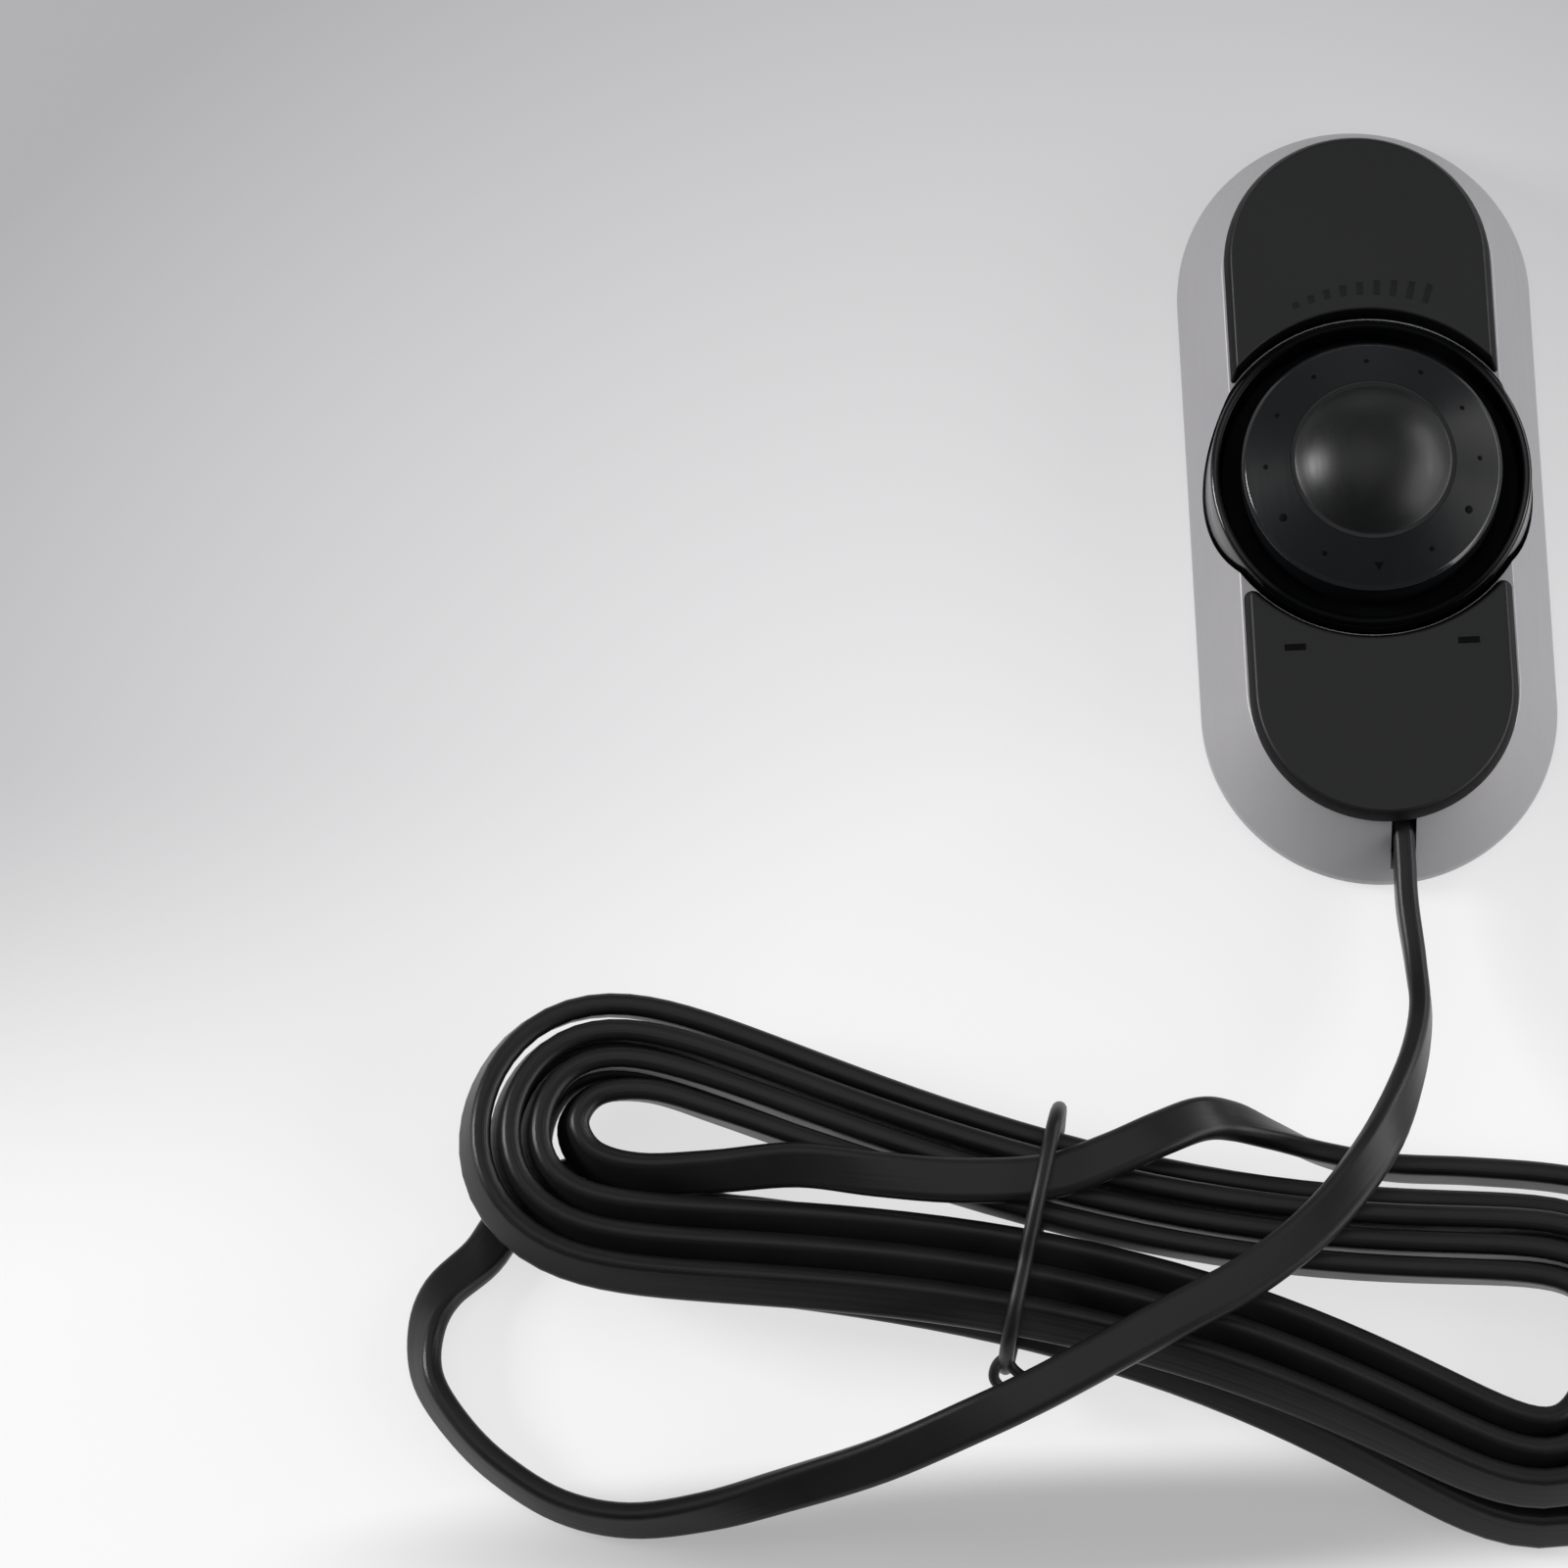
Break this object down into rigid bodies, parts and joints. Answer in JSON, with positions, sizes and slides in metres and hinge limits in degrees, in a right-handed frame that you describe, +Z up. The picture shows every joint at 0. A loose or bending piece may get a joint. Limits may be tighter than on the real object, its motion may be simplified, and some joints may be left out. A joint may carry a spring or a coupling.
{
  "type": "inline volume knob",
  "caption": "Low stadium-shaped desk volume knob: a domed dial turns in a glossy collar on a sloped silver case, with a flat cord wound into a tied hank and a modular plug.",
  "frame": {"origin": "centre of the case's footprint on the table, under the dial's axis", "axes": "+Y along the case, away from the end where the cord leaves; +Z up along the dial's axis"},
  "size_m": [0.1803, 0.1656, 0.0223],
  "materials": {
    "foot_rubber": "matt",
    "plate_black": "fine texture",
    "steel": "plain",
    "case_silver": "metallic satin paint",
    "cover_black": "satin",
    "collar_gloss": "high gloss",
    "dial_black": "satin",
    "dome_black": "semi-gloss",
    "brass": "plain",
    "pot_metal": "stamped",
    "rotor_white": "plain",
    "gilt": "plated",
    "wafer_brown": "plain",
    "board_green": "solder mask",
    "chip_black": "moulded",
    "wire_red": "plain",
    "cord_black": "soft satin",
    "tie_black": "satin",
    "plug_clear": "clear moulded"
  },
  "bodies": {
    "case": {"foot_pads": "foot_rubber", "bottom_plate": "plate_black", "plate_screws": "steel", "base_shell": "case_silver", "upper_cover": "cover_black", "lower_cover": "cover_black", "cover_screws": "steel", "dial_collar": "collar_gloss", "pot_bushing": "brass", "pot_nut": "steel", "pot_washer": "steel", "pot_housing": "pot_metal", "pot_wafer": "wafer_brown", "pot_terminals": "steel", "circuit_board": "board_green", "board_screws": "steel", "board_parts": "chip_black", "cord_clamp": "plate_black", "clamp_screws": "steel", "lead_wires": "wire_red", "cord_lead": "cord_black", "cord_hank": "cord_black", "cord_tail": "cord_black", "cord_tie": "tie_black", "plug_body": "plug_clear", "plug_contacts": "gilt"},
    "dial": {"dial": "dial_black", "dial_dome": "dome_black", "pot_shaft": "steel", "pot_rotor": "rotor_white", "pot_wiper": "gilt"},
    "latch": {"plug_latch": "plug_clear"}
  },
  "joints": [
    {"name": "dial_turn", "type": "hinge", "parent": "case", "child": "dial", "pos_m": [0, 0, 0.014], "axis": [0, 0, 1], "range_deg": [-150, 150]},
    {"name": "latch_press", "type": "hinge", "parent": "case", "child": "latch", "pos_m": [0.06666, -0.09294, 0.0072], "axis": [-0.2756, -0.9613, 0], "range_deg": [0, 9], "stiffness_Nm_per_rad": 0.02}
  ]
}
